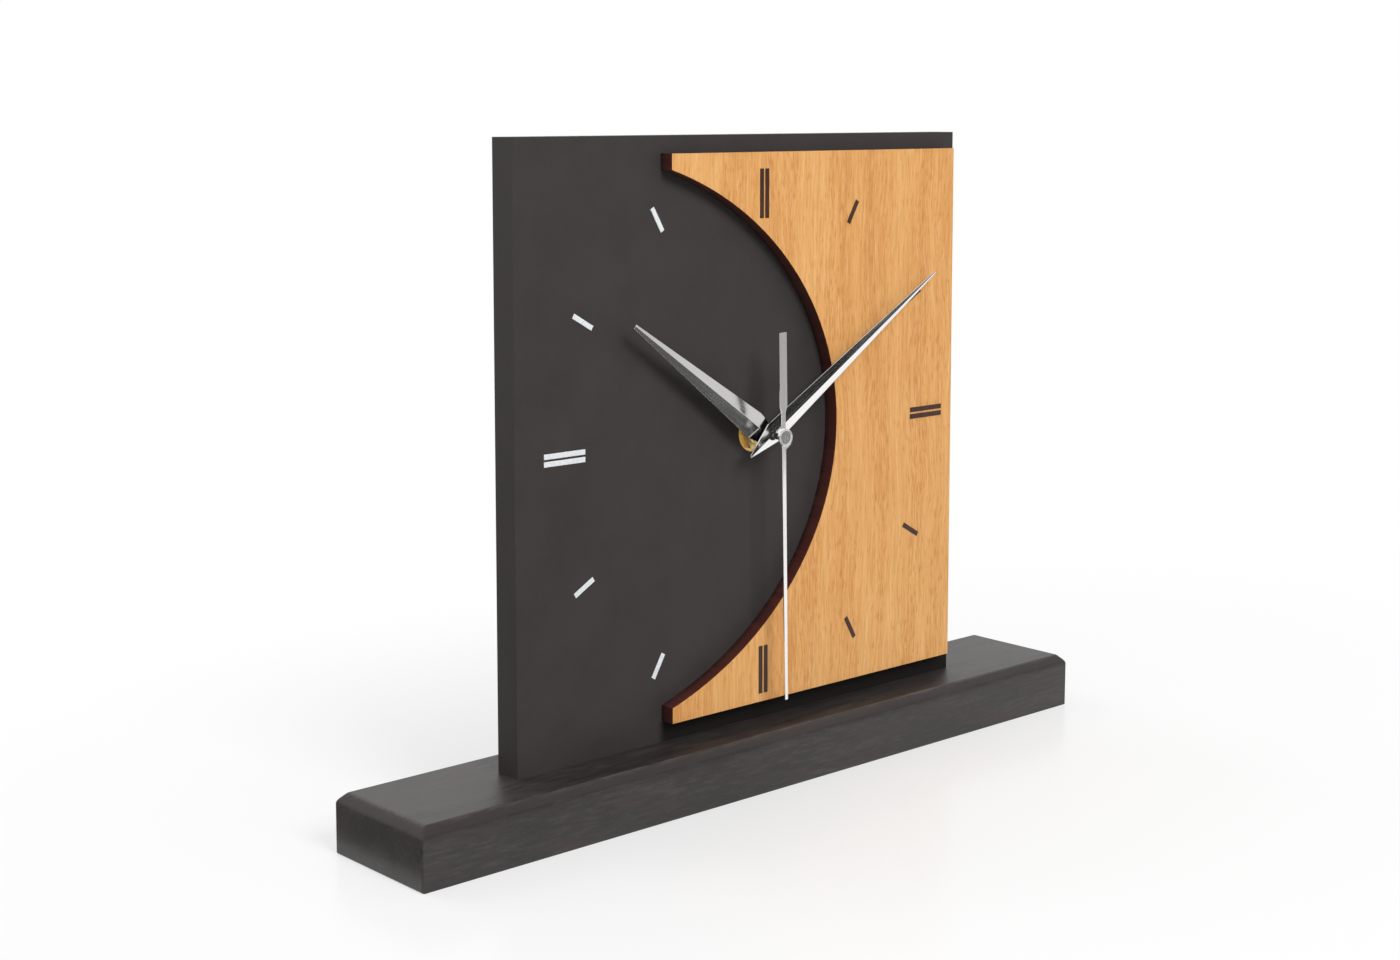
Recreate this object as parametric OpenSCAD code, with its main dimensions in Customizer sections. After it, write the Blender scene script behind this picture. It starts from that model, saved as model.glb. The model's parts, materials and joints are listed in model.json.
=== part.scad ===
// Table clock. A dark board stands in the groove of a chamfered plinth. An oak-faced overlay with a
// concave edge covers its right side. A battery quartz movement behind it turns three hands.
// Front is -Y and up is +Z. The origin is the middle of the plinth's underside.

/* [Plinth] */
// Length of the plinth
plinth_l = 297; // [240:1:360]
// Depth of the plinth from front to back
plinth_d = 46.5; // [46.5:0.5:70]
// Height of the plinth
plinth_h = 19.5; // [17:0.5:30]
// Chamfer along the plinth's top edges
plinth_chamfer = 2.7; // [0.5:0.1:5]
// Depth of the groove that the dial panel stands in
groove_depth = 9; // [5:0.5:11]

/* [Dial panel] */
// Width of the dial panel
panel_w = 200; // [192:1:230]
// Height of the dial panel above the plinth
panel_h = 199; // [196:1:230]
// Thickness of the dial panel
panel_t = 10; // [8:0.5:10]
// How far the hands' centre lies below the middle of the dial panel
dial_drop = 0.5; // [0:0.1:3]

/* [Oak overlay] */
// Distance of the overlay from the panel's top and right edges
overlay_inset = 5.7; // [1:0.1:7]
// Height of the overlay's lower edge above the plinth
overlay_foot = 7.3; // [1:0.1:9]
// How far the overlay's horns reach to the left of the hands' centre
overlay_reach = 40.7; // [20:0.1:60]
// Distance from the hands' centre to the concave edge at its furthest
curve_reach = 34.9; // [20:0.1:50]
// Half of the width of the ellipse that the concave edge follows
curve_a = 117.8; // [100:0.2:160]
// How far that ellipse passes above and below the hour marks' outer ends
curve_rise = 5.2; // [1:0.1:8]
// Thickness of the overlay's hardboard core
core_t = 5; // [3:0.1:5.2]
// Thickness of the oak veneer
veneer_t = 0.6; // [0.4:0.1:0.8]

/* [Hour marks] */
// Distance from the hour marks' outer ends to the nearest edge of the panel's face
mark_margin = 10.2; // [7:0.1:20]
// Length of a single bar
mark_short = 8.8; // [5:0.2:14]
// Length of the double bars at 12, 3, 6 and 9
mark_long = 16.4; // [10:0.2:22]
// Width of one bar
mark_w = 1.7; // [1:0.1:2.4]
// Gap between the two bars of a pair
mark_gap = 0.7; // [0.4:0.1:1.2]

/* [Hands] */
// How far the minute hand's tip passes the hour marks' outer ends
minute_over = 6.2; // [0:0.1:6.5]
// Minute hand from the centre to the end of its tail
minute_tail = 11.7; // [8:0.1:20]
// Width of the minute hand at its widest
minute_w = 7.7; // [6:0.1:10]
// How far the hour hand's tip stops short of the hour marks' outer ends
hour_short = 18.3; // [8:0.1:40]
// Width of the hour hand at its widest
hour_w = 9.6; // [7.5:0.1:11]
// How far the second hand's point passes the hour marks' outer ends
second_over = 0.7; // [0:0.1:6]
// Second hand's counterweight from the centre to its end
counter_len = 35; // [20:0.5:45]
// Width of the counterweight bar
counter_w = 3.3; // [2.4:0.1:5]

/* [Movement] */
// Wall thickness of the movement case
wall = 1.2; // [1:0.1:1.6]
// Thickness of the movement's wheels
wheel_t = 0.8; // [0.6:0.1:1]
// Outer radius of the threaded bush
bush_r = 3.9; // [3.8:0.05:4.1]
// Width of the hex nut across its flats
nut_flats = 10; // [9.2:0.1:11]
// Length of the battery without its nub
battery_len = 49; // [48:0.1:49]
// Radius of the battery
battery_r = 7.1; // [6.8:0.05:7.15]
// How far the battery's spring contact bows out
spring_bow = 2.7; // [1.5:0.1:4]

/* [Hidden] */

// Facets of large and of small round shapes
round_fn = 96;
small_fn = 40;
// Overrun of every cut past the face that it opens
cut = 1;
// Radial clearance of shafts that turn in a bore
run_fit = 0.05;
// Axial gap between faces that turn past each other
axial_gap = 0.4;
// Clearance round a piece that is dropped into its place
slip_fit = 0.3;
// Air left between moving wheels and fixed walls
wall_air = 0.4;

// Time shown at rest, as clockwise angles from 12 o'clock
minute_angle = 57.8;
hour_angle = 304.9;
second_angle = 178.9;

// Dial and overlay, measured from the hands' centre
dial_rise = panel_h / 2 - dial_drop;
dial_z = plinth_h + dial_rise;
mark_r = min(panel_w / 2, dial_rise) - mark_margin;
minute_len = mark_r + minute_over;
hour_len = mark_r - hour_short;
second_len = mark_r + second_over;
overlay_right = panel_w / 2 - overlay_inset;
overlay_left = -overlay_reach;
overlay_top = panel_h - dial_rise - overlay_inset;
overlay_bottom = overlay_foot - dial_rise;
overlay_t = core_t + veneer_t;
curve_mid = (overlay_top + overlay_bottom) / 2;
curve_x = curve_reach - curve_a;
curve_end = acos((overlay_left - curve_x) / curve_a);
curve_b = mark_r + curve_rise;
curve_steps = 72;
mark_t = 0.2;

// Screws up through the plinth
screw_spread_share = 0.35;
screw_x = panel_w * screw_spread_share;
screw_r = 1.75;
screw_head_r = 3.4;
screw_head_h = 2.2;
screw_recess = 1.6;
screw_into_panel = 16;
screw_point = 3;
screw_slot_w = 0.9;
screw_slot_l = 4;
screw_slot_d = 1.2;

// Stack on the shaft in front of the panel, heights measured from the panel's face
washer_r = 6.5;
washer_t = 0.5;
nut_t = 2.2;
bush_proud = 0.7;
bush_top = washer_t + nut_t + bush_proud;
bush_bore_r = 2.6;
panel_hole_r = bush_r + slip_fit;
seal_r = 10;
seal_t = 0.8;
flange_r = 5.4;
flange_t = 0.9;
sheet_t = 0.4;
fold_drop = 0.9;
hour_ridge = overlay_t + slip_fit + sheet_t + fold_drop + axial_gap;
hour_hub_r = 3.3;
hour_widest = 6;
hour_tail = 3.6;
hour_tail_w = 6;
hour_tip_w = 1.6;
minute_ridge = hour_ridge + axial_gap + fold_drop + sheet_t + bush_proud;
minute_hub_r = 2.7;
minute_widest = 1.2;
minute_tip_w = 0.8;
second_lift = 5;
second_level = minute_ridge + second_lift;
cap_r = 3;
cap_t = 1.1;
root_tab_w = 2.7;
root_tab_len = 8;
root_tab_turn = 33;
needle_base_w = 1.8;
needle_tip_w = 1.3;
counter_start = 10.5;
counter_neck_w = 1.7;
counter_taper = 2.4;
second_tube_r = 1.1;
second_tube_len = 4.2;

// Tubes and arbors, all on the hands' axis, from the inside out
arbor_r = 0.75;
arbor_front_r = 0.5;
arbor_pivot_r = 0.4;
minute_tube_bore = arbor_r + run_fit;
minute_tube_r = 1.8;
minute_seat_r = 1.6;
minute_neck_r = 1.3;
hour_pipe_bore = minute_tube_r + run_fit;
hour_pipe_r = bush_bore_r - run_fit;
hour_seat_r = 2.35;

// Front of the case, behind the panel
front_wall = 1.4;
case_front = -panel_t - seal_t;
wall_in = case_front - front_wall;

// Levels of the wheels, each the front face, towards the rear
pinion_proud = 0.15;
pinion_t = wheel_t + 2 * pinion_proud;
hour_level = wall_in - axial_gap;
motion_level = hour_level - wheel_t - axial_gap - pinion_proud;
spring_t = 0.2;
spring_w = 1.6;
centre_level = motion_level - pinion_t - spring_t - run_fit;
bridge_t = 0.8;
bridge_level = centre_level - pinion_t - axial_gap;
third_level = bridge_level - bridge_t - axial_gap;
second_wheel_level = third_level - pinion_t - axial_gap;
fast_level = second_wheel_level - pinion_t - axial_gap;
boss_level = fast_level - pinion_t - axial_gap;
boss_r = 1.6;
boss_h = 1.5;
pivot_depth = 0.9;

// Rear of the case, which closes on the bosses behind the last wheel
cover_t = 1.3;
cover_in = boss_level - boss_h;
case_rear = cover_in - cover_t;
case_d = case_front - case_rear;

// Teeth
pressure_angle = 20;
backlash_share = 0.14;
addendum_share = 0.7;
root_share = 1.15;
cannon_teeth = 12;
motion_teeth = 36;
motion_pinion_teeth = 10;
hour_teeth = 40;
centre_teeth = 80;
third_pinion_teeth = 10;
third_teeth = 75;
second_pinion_teeth = 10;
second_teeth = 60;
fast_pinion_teeth = 10;
fast_teeth = 60;
rotor_teeth = 12;

// Tooth modules, with the second of each pair worked out from the shared centre distance
motion_module = 0.5;
motion_reach = motion_module * (cannon_teeth + motion_teeth) / 2;
hour_module = 2 * motion_reach / (hour_teeth + motion_pinion_teeth);
centre_module = 0.24;
third_reach = centre_module * (centre_teeth + third_pinion_teeth) / 2;
third_module = 2 * third_reach / (third_teeth + second_pinion_teeth);
second_module = 0.24;
fast_reach = second_module * (second_teeth + fast_pinion_teeth) / 2;
rotor_module = 2 * fast_reach / (fast_teeth + rotor_teeth);

// Directions from one axis to the next, anticlockwise from 3 o'clock
motion_dir = 0;
third_dir = 180;
fast_dir = 111;
rotor_dir = 180 - fast_dir;
motion_at = [motion_reach, 0];
third_at = [-third_reach, 0];
fast_at = fast_reach * [cos(fast_dir), sin(fast_dir)];
rotor_at = fast_at + fast_reach * [cos(rotor_dir), sin(rotor_dir)];

// Stepping motor
magnet_r = 3;
magnet_t = 2.4;
magnet_bore = 0.8;
magnet_air = 1.6;
magnet_level = wall_in - magnet_air;
stator_t = 0.8;
stator_level = magnet_level - (magnet_t - stator_t) / 2;
stator_hole_r = magnet_r + wall_air;
stator_side = 4.1;
stator_leg_w = 3.5;
stator_notch_r = 0.4;
rotor_disc_r = 2.4;
rotor_disc_t = 0.5;
rotor_stem_r = 1.1;
core_w = 3;
core_bar_t = 1;
coil_r = 2.9;
flange_coil_r = 3.2;
bobbin_wall = 0.5;
coil_flange_t = 0.8;
coil_air = 1.1;
coil_y = rotor_at[1] + stator_side + slip_fit + flange_coil_r;
coil_level = stator_level - stator_t - core_bar_t / 2;

// Battery and its contacts, which set the width of the case
nub_r = 2.75;
nub_len = 1;
sleeve_t = 0.15;
contact_t = 0.3;
contact_w = 9;
rail_w = 1.8;
contact_slot_w = 3;
room_x = (contact_t + slip_fit + nub_len + battery_len + slip_fit + spring_bow) / 2;
contact_end = room_x - contact_t;
battery_end = contact_end - slip_fit;

// Height of the case, from the coil at the top through the wheels to the battery bay at the bottom
train_air = 0.46;
room_high = coil_y + flange_coil_r + slip_fit;
room_low = -hour_module * (hour_teeth / 2 + addendum_share) - train_air;
bay_high = room_low - wall;
bay_h = 2 * battery_r + 2 * slip_fit + wall_air;
bay_low = bay_high - bay_h;
case_high = room_high + wall;
case_low = bay_low - wall;
case_h = case_high - case_low;
case_w = 2 * room_x + 2 * wall;
case_corner_r = 2;
battery_level = wall_in - slip_fit - battery_r;
battery_y = bay_low + bay_h / 2;

// Circuit board with what stands on it
board_w = 9.4;
board_h = 11.4;
board_t = 1;
board_x = room_x - board_w - slip_fit;
board_y = room_high - board_h - slip_fit;
board_standoff = 3;
board_level = wall_in - board_standoff;
board_post_r = 1;
crystal_r = 1;
crystal_len = 6;
chip_r = 2;
chip_t = 0.8;

// Length of the stator and the coil, beside the circuit board
board_air = 2.1;
stator_half = board_x - board_air;
coil_half = stator_half - stator_leg_w - coil_air;

// Knob, bridge and cover
knob_r = 5.5;
knob_t = 2.4;
knob_flutes = 14;
flute_r = 0.7;
knob_shaft_r = 1.2;
post_r = 1.7;
peg_r = 0.8;
bridge_half = room_x - slip_fit;
bridge_low = room_low + wall_air;
bridge_margin = 4.6;
bridge_high = fast_at[1] + bridge_margin;
post_at = [
    [bridge_half - post_r, bridge_low + post_r],
    [bridge_half - post_r, bridge_high - post_r],
    [-bridge_half + post_r, bridge_low + post_r],
    [-bridge_half + post_r, bridge_high - post_r]
];
latch_w = 4;
latch_t = 0.8;
latch_h = 1.4;
latch_y = room_high - wall - latch_w / 2;
cover_gap = 0.15;

// Frame helpers

// Puts children drawn face-on, with z towards the viewer, on the panel's face at the hands' centre
module on_dial(level = 0) {
    translate([0, -panel_t / 2, dial_z]) rotate([90, 0, 0]) translate([0, 0, level]) children();
}

// Puts a disc-like child's front face at a level, with its body behind it
module behind(level, t) {
    on_dial(level - t) children();
}

module rounded_square(w, h, r) {
    square([w - 2 * r, h], center = true);
    square([w, h - 2 * r], center = true);
    for (x = [-w / 2 + r, w / 2 - r], y = [-h / 2 + r, h / 2 - r])
        translate([x, y]) circle(r, $fn = small_fn);
}

module ring(outer_r, inner_r, h) {
    difference() {
        cylinder(h, r = outer_r, $fn = round_fn);
        translate([0, 0, -cut]) cylinder(h + 2 * cut, r = inner_r, $fn = round_fn);
    }
}

// Gears

// Angle by which an involute has turned at radius r
function involute_turn(base_r, r) =
    r <= base_r ? 0 : let (t = sqrt(pow(r / base_r, 2) - 1)) t * 180 / PI - atan(t);

// Half of a tooth's angle at radius r
function tooth_half(teeth, pitch_r, base_r, r) =
    90 / teeth * (1 - backlash_share) + involute_turn(base_r, pitch_r) - involute_turn(base_r, r);

function gear_points(teeth, module_size) =
    let (
        pitch_r = teeth * module_size / 2,
        base_r = pitch_r * cos(pressure_angle),
        root_r = pitch_r - root_share * module_size,
        tip_r = pitch_r + addendum_share * module_size,
        flank = [root_r, max(root_r, base_r), pitch_r, tip_r],
        last = len(flank) - 1
    )
    [for (tooth = [0:teeth - 1], side = [-1, 1], i = [0:last])
        let (
            r = side < 0 ? flank[i] : flank[last - i],
            a = 360 / teeth * tooth + side * tooth_half(teeth, pitch_r, base_r, r)
        )
        r * [cos(a), sin(a)]];

// Turns a driven gear so that its teeth meet the driver's: driver at first_turn, driven in direction dir
function mesh_turn(dir, first_teeth, first_turn, second_teeth) =
    dir + 180 - (180 - (dir - first_turn) * first_teeth) / second_teeth;

module gear(teeth, module_size, t, turn = 0) {
    rotate(turn) linear_extrude(t) polygon(gear_points(teeth, module_size));
}

// A straight hole through a gear or a plate of thickness t
module bore(r, t) {
    translate([0, 0, -cut]) cylinder(t + 2 * cut, r = r, $fn = small_fn);
}

module rod(r, from, to) {
    translate([0, 0, min(from, to)]) cylinder(abs(to - from), r = r, $fn = small_fn);
}

// Phase of every gear
motion_turn = mesh_turn(motion_dir, cannon_teeth, 0, motion_teeth);
hour_turn = mesh_turn(motion_dir + 180, motion_pinion_teeth, 0, hour_teeth);
third_pinion_turn = mesh_turn(third_dir, centre_teeth, 0, third_pinion_teeth);
third_turn = mesh_turn(third_dir, second_pinion_teeth, 0, third_teeth);
fast_pinion_turn = mesh_turn(fast_dir, second_teeth, 0, fast_pinion_teeth);
rotor_turn = mesh_turn(rotor_dir, fast_teeth, 0, rotor_teeth);

// Plinth and boards

module chamfered_section(w, h, c) {
    polygon([[-w / 2, 0], [w / 2, 0], [w / 2, h - c], [w / 2 - c, h], [-w / 2 + c, h], [-w / 2, h - c]]);
}

module plinth() {
    color([0.24, 0.22, 0.21])
    difference() {
        intersection() {
            rotate([90, 0, 90]) linear_extrude(plinth_l, center = true)
                chamfered_section(plinth_d, plinth_h, plinth_chamfer);
            rotate([90, 0, 0]) linear_extrude(plinth_d, center = true)
                chamfered_section(plinth_l, plinth_h, plinth_chamfer);
        }
        translate([-panel_w / 2, -panel_t / 2, plinth_h - groove_depth])
            cube([panel_w, panel_t, groove_depth + cut]);
        for (x = [-screw_x, screw_x]) translate([x, 0, 0]) {
            rod(screw_head_r + slip_fit, -cut, screw_recess + screw_head_h);
            rod(screw_r, 0, plinth_h);
        }
    }
}

module dial_panel() {
    color([0.25, 0.24, 0.24])
    difference() {
        translate([-panel_w / 2, -panel_t / 2, plinth_h - groove_depth])
            cube([panel_w, panel_t, panel_h + groove_depth]);
        on_dial(-panel_t) bore(panel_hole_r, panel_t);
        for (x = [-screw_x, screw_x]) translate([x, 0, plinth_h - groove_depth]) screw_pilot();
    }
}

module screw_pilot() {
    rod(screw_r, -cut, screw_into_panel - screw_point);
    translate([0, 0, screw_into_panel - screw_point])
        cylinder(screw_point, r1 = screw_r, r2 = 0, $fn = small_fn);
}

module panel_screws() {
    color("silver")
    for (x = [-screw_x, screw_x]) translate([x, 0, 0]) {
        difference() {
            rod(screw_head_r, screw_recess, screw_recess + screw_head_h);
            for (turn = [0, 90]) rotate(turn) translate([0, 0, screw_recess - cut])
                translate([-screw_slot_l / 2, -screw_slot_w / 2, 0])
                    cube([screw_slot_l, screw_slot_w, screw_slot_d + cut]);
        }
        rod(screw_r, screw_recess + screw_head_h, plinth_h - groove_depth);
        translate([0, 0, plinth_h - groove_depth]) {
            rod(screw_r, 0, screw_into_panel - screw_point);
            translate([0, 0, screw_into_panel - screw_point])
                cylinder(screw_point, r1 = screw_r, r2 = 0, $fn = small_fn);
        }
    }
}

// Outline of the overlay, with the concave edge as an arc of an ellipse
module overlay_outline() {
    polygon(concat(
        [[overlay_right, overlay_bottom], [overlay_right, overlay_top], [overlay_left, overlay_top]],
        [for (i = [0:curve_steps])
            let (a = curve_end * (1 - 2 * i / curve_steps))
            [curve_x + curve_a * cos(a), curve_mid + curve_b * sin(a)]],
        [[overlay_left, overlay_bottom]]
    ));
}

module overlay_core() {
    color([0.25, 0.1, 0.09]) on_dial() linear_extrude(core_t) overlay_outline();
}

module oak_veneer() {
    color([0.87, 0.65, 0.4]) on_dial(core_t) linear_extrude(veneer_t) overlay_outline();
}

// Bars for the hours in a list: one short bar, or a pair of long ones at 12, 3, 6 and 9
module hour_bars(hours) {
    for (hour = hours) rotate(-360 / 12 * hour)
        if (hour % 3 == 0)
            for (side = [-1, 1]) bar_at(side * (mark_w + mark_gap) / 2, mark_long);
        else
            bar_at(0, mark_short);
}

module bar_at(x, length) {
    translate([x - mark_w / 2, mark_r - length, 0]) cube([mark_w, length, mark_t]);
}

module light_markers() {
    color("white") on_dial() hour_bars([7, 8, 9, 10, 11]);
}

module dark_markers() {
    color([0.2, 0.1, 0.07]) on_dial(overlay_t) hour_bars([1, 2, 3, 4, 5, 6, 12]);
}

// Shaft hardware

module seal_washer() {
    color([0.12, 0.12, 0.12]) behind(-panel_t, seal_t) ring(seal_r, panel_hole_r, seal_t);
}

module brass_washer() {
    color("gold") on_dial() ring(washer_r, bush_r, washer_t);
}

module hex_nut() {
    color("gold") on_dial(washer_t) difference() {
        intersection() {
            cylinder(nut_t, r = nut_flats / sqrt(3), $fn = 6);
            translate([0, 0, -nut_t]) cylinder(
                3 * nut_t,
                r1 = nut_flats / sqrt(3) + 2 * nut_t,
                r2 = nut_flats / 2 - nut_t / 2,
                $fn = round_fn
            );
        }
        bore(bush_r, nut_t);
    }
}

module shaft_bush() {
    color("goldenrod") on_dial() difference() {
        union() {
            rod(bush_r, wall_in, bush_top);
            rod(flange_r, wall_in, wall_in + flange_t);
        }
        rod(bush_bore_r, wall_in - cut, bush_top + cut);
    }
}

// Hands

// Flat outline of a blade that points up, widest at height widest
module blade_outline(length, tail, width, widest, tip_w, tail_w) {
    polygon([
        [-tip_w / 2, length], [tip_w / 2, length], [width / 2, widest],
        [tail_w / 2, -tail], [-tail_w / 2, -tail], [-width / 2, widest]
    ]);
}

// Blade folded along its middle, with the ridge at z = 0 and both sides sloping back
module folded_blade(length, tail, width, widest, tip_w, tail_w) {
    intersection() {
        translate([0, 0, -2 * (fold_drop + sheet_t)]) linear_extrude(2 * (fold_drop + sheet_t))
            blade_outline(length, tail, width, widest, tip_w, tail_w);
        rotate([90, 0, 0]) linear_extrude(2 * length + 2 * tail, center = true) polygon([
            [0, 0], [width, -2 * fold_drop], [width, -2 * fold_drop - sheet_t],
            [0, -sheet_t], [-width, -2 * fold_drop - sheet_t], [-width, -2 * fold_drop]
        ]);
    }
}

module hub(r, width) {
    translate([0, 0, -fold_drop - sheet_t])
        cylinder(fold_drop + sheet_t - fold_drop * r / (width / 2), r = r, $fn = small_fn);
}

module hour_hand() {
    color([0.75, 0.75, 0.74]) on_dial(hour_ridge) rotate(-hour_angle) difference() {
        union() {
            folded_blade(hour_len, hour_tail, hour_w, hour_widest, hour_tip_w, hour_tail_w);
            hub(hour_hub_r, hour_w);
        }
        rod(hour_seat_r, -hour_ridge, cut);
    }
}

module minute_hand() {
    color([0.75, 0.75, 0.74]) on_dial(minute_ridge) rotate(-minute_angle) difference() {
        union() {
            folded_blade(minute_len, minute_tail, minute_w, minute_widest, minute_tip_w, minute_tip_w);
            hub(minute_hub_r, minute_w);
        }
        rod(minute_seat_r, -minute_ridge, cut);
    }
}

module second_hand() {
    color([0.85, 0.85, 0.84]) on_dial(second_level) rotate(-second_angle) difference() {
        union() {
            linear_extrude(sheet_t) polygon([
                [needle_base_w / 2, 0], [needle_tip_w / 2, second_len],
                [-needle_tip_w / 2, second_len], [-needle_base_w / 2, 0],
                [-counter_neck_w / 2, 0], [-counter_neck_w / 2, -counter_start + counter_taper],
                [-counter_w / 2, -counter_start], [-counter_w / 2, -counter_len],
                [counter_w / 2, -counter_len], [counter_w / 2, -counter_start],
                [counter_neck_w / 2, -counter_start + counter_taper], [counter_neck_w / 2, 0]
            ]);
            rotate(root_tab_turn) linear_extrude(sheet_t)
                square([root_tab_w, root_tab_len], center = true);
            cylinder(sheet_t, r = cap_r - sheet_t, $fn = small_fn);
        }
        bore(second_tube_r, sheet_t);
    }
}

// Round cap in front of the second hand, in one piece with the tube that grips the arbor
module second_hand_cap() {
    color([0.45, 0.45, 0.45]) on_dial(second_level) difference() {
        union() {
            rod(cap_r, sheet_t, sheet_t + cap_t);
            rod(second_tube_r, sheet_t - second_tube_len, sheet_t);
        }
        rod(arbor_front_r, sheet_t - second_tube_len - cut, sheet_t);
    }
}

// Movement: shells

module movement_case() {
    color([0.13, 0.13, 0.14]) on_dial() difference() {
        union() {
            translate([0, 0, case_rear]) difference() {
                linear_extrude(case_d) translate([0, (case_high + case_low) / 2])
                    rounded_square(case_w, case_h, case_corner_r);
                translate([-room_x, room_low, -cut])
                    cube([2 * room_x, room_high - room_low, case_d - front_wall + cut]);
                translate([-room_x, bay_low, -cut])
                    cube([2 * room_x, bay_h, case_d - front_wall + cut]);
            }
            for (at = post_at) translate(at) {
                rod(post_r, bridge_level, wall_in);
                rod(peg_r, bridge_level - bridge_t, bridge_level);
            }
            translate(rotor_at) rod(boss_r, magnet_level + axial_gap, wall_in);
            for (at = board_posts()) translate(at) rod(board_post_r, board_level, wall_in);
        }
        rod(bush_r, wall_in - cut, case_front + cut);
        rod(flange_r, wall_in - cut, wall_in + flange_t);
        translate(third_at) rod(arbor_pivot_r + run_fit, wall_in - cut, wall_in + pivot_depth);
        translate(motion_at) rod(arbor_r + run_fit, wall_in - cut, wall_in + pivot_depth);
        translate(rotor_at) rod(arbor_pivot_r + run_fit, magnet_level, wall_in + pivot_depth);
        for (side = [-1, 1]) {
            translate([side * room_x, room_low - wall - cut, case_rear - cut])
                translate([side > 0 ? -contact_slot_w : 0, 0, 0])
                    cube([contact_slot_w, wall + 2 * cut, cover_t + rail_w + cut]);
            translate([side * (room_x + wall / 2), latch_y, cover_in + latch_h / 2])
                cube([wall + 2 * cut, latch_w + 2 * slip_fit, latch_h + 2 * slip_fit], center = true);
        }
    }
}

function board_posts() = [
    [board_x + 2 * board_post_r, board_y + 2 * board_post_r],
    [board_x + board_w - 2 * board_post_r, board_y + board_h - 2 * board_post_r]
];

module rear_cover() {
    color([0.15, 0.15, 0.16]) on_dial() difference() {
        union() {
            translate([-room_x + cover_gap, room_low + cover_gap, case_rear])
                cube([2 * room_x - 2 * cover_gap, room_high - room_low - 2 * cover_gap, cover_t]);
            for (at = [[0, 0], third_at, fast_at, rotor_at])
                translate(at) rod(boss_r, cover_in, boss_level);
            for (side = [-1, 1]) translate([side * room_x, latch_y, cover_in + latch_h / 2])
                cube([2 * latch_t, latch_w, latch_h], center = true);
        }
        for (at = [[0, 0], third_at, fast_at, rotor_at]) translate(at)
            rod(arbor_pivot_r + run_fit, boss_level - pivot_depth - run_fit, boss_level + cut);
        translate(motion_at) rod(knob_shaft_r + run_fit, case_rear - cut, cover_in + cut);
    }
}

module train_bridge() {
    color([0.85, 0.85, 0.8]) behind(bridge_level, bridge_t) difference() {
        translate([-bridge_half, bridge_low, 0])
            cube([2 * bridge_half, bridge_high - bridge_low, bridge_t]);
        for (at = post_at) translate(at) bore(peg_r, bridge_t);
        bore(arbor_r + run_fit, bridge_t);
        for (at = [third_at, fast_at]) translate(at) bore(arbor_pivot_r + run_fit, bridge_t);
        translate(motion_at) bore(knob_shaft_r + run_fit, bridge_t);
    }
}

// Movement: slow wheels on the hands' axis

module hour_wheel() {
    color("ivory") on_dial() difference() {
        union() {
            translate([0, 0, hour_level - wheel_t]) gear(hour_teeth, hour_module, wheel_t, hour_turn);
            rod(hour_pipe_r, hour_level, hour_ridge - fold_drop - sheet_t);
            rod(hour_seat_r, hour_level, hour_ridge - fold_drop * hour_hub_r / (hour_w / 2));
        }
        rod(hour_pipe_bore, hour_level - wheel_t - cut, hour_ridge + cut);
    }
}

module cannon_pinion() {
    color([0.1, 0.1, 0.1]) on_dial() difference() {
        union() {
            translate([0, 0, motion_level - pinion_t]) gear(cannon_teeth, motion_module, pinion_t);
            rod(minute_tube_r, motion_level, minute_ridge - fold_drop - sheet_t);
            rod(minute_seat_r, motion_level, minute_ridge + sheet_t);
            rod(minute_neck_r, bridge_level + axial_gap, motion_level - pinion_t);
        }
        rod(minute_tube_bore, bridge_level, minute_ridge + sheet_t + cut);
    }
}

// Friction spring that presses the cannon pinion and the centre wheel together
module clutch_spring() {
    color("silver") behind(motion_level - pinion_t, spring_t)
        ring(minute_neck_r + spring_w, minute_neck_r, spring_t);
}

module centre_wheel() {
    color("ivory") behind(centre_level - pinion_proud, wheel_t) difference() {
        gear(centre_teeth, centre_module, wheel_t);
        bore(minute_neck_r + run_fit, wheel_t);
    }
}

module motion_wheel() {
    color("ivory") on_dial() translate(motion_at) {
        translate([0, 0, motion_level - pinion_proud - wheel_t])
            gear(motion_teeth, motion_module, wheel_t, motion_turn);
        translate([0, 0, motion_level - pinion_proud])
            gear(motion_pinion_teeth, hour_module, hour_level - motion_level + pinion_proud);
        rod(arbor_r, wall_in + pivot_depth - run_fit, hour_level);
        rod(knob_shaft_r, motion_level - pinion_proud - wheel_t, case_rear - axial_gap);
    }
}

module set_knob() {
    color([0.12, 0.12, 0.12]) behind(case_rear - axial_gap, knob_t) translate(motion_at) difference() {
        cylinder(knob_t, r = knob_r, $fn = round_fn);
        for (i = [0:knob_flutes - 1]) rotate(360 / knob_flutes * i) translate([knob_r, 0, 0])
            bore(flute_r, knob_t);
    }
}

// Movement: fast wheels

module third_wheel() {
    color("ivory") on_dial() translate(third_at) {
        translate([0, 0, centre_level - pinion_t])
            gear(third_pinion_teeth, centre_module, pinion_t, third_pinion_turn);
        translate([0, 0, third_level - pinion_proud - wheel_t])
            gear(third_teeth, third_module, wheel_t, third_turn);
        rod(arbor_pivot_r, boss_level - pivot_depth, wall_in + pivot_depth - run_fit);
    }
}

module second_wheel() {
    color("ivory") on_dial() difference() {
        union() {
            translate([0, 0, third_level - pinion_t]) gear(second_pinion_teeth, third_module, pinion_t);
            translate([0, 0, second_wheel_level - pinion_proud - wheel_t])
                gear(second_teeth, second_module, wheel_t);
            rod(third_module * second_pinion_teeth / 2 - third_module * root_share,
                second_wheel_level - pinion_proud, third_level - pinion_t);
        }
        rod(arbor_r, second_wheel_level - pinion_t - cut, third_level + cut);
    }
}

module second_arbor() {
    color("silver") on_dial() {
        rod(arbor_pivot_r, boss_level - pivot_depth, second_wheel_level - pinion_proud - wheel_t);
        rod(arbor_r, second_wheel_level - pinion_proud - wheel_t, minute_ridge + sheet_t);
        rod(arbor_front_r, minute_ridge + sheet_t, second_level + sheet_t);
    }
}

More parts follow.
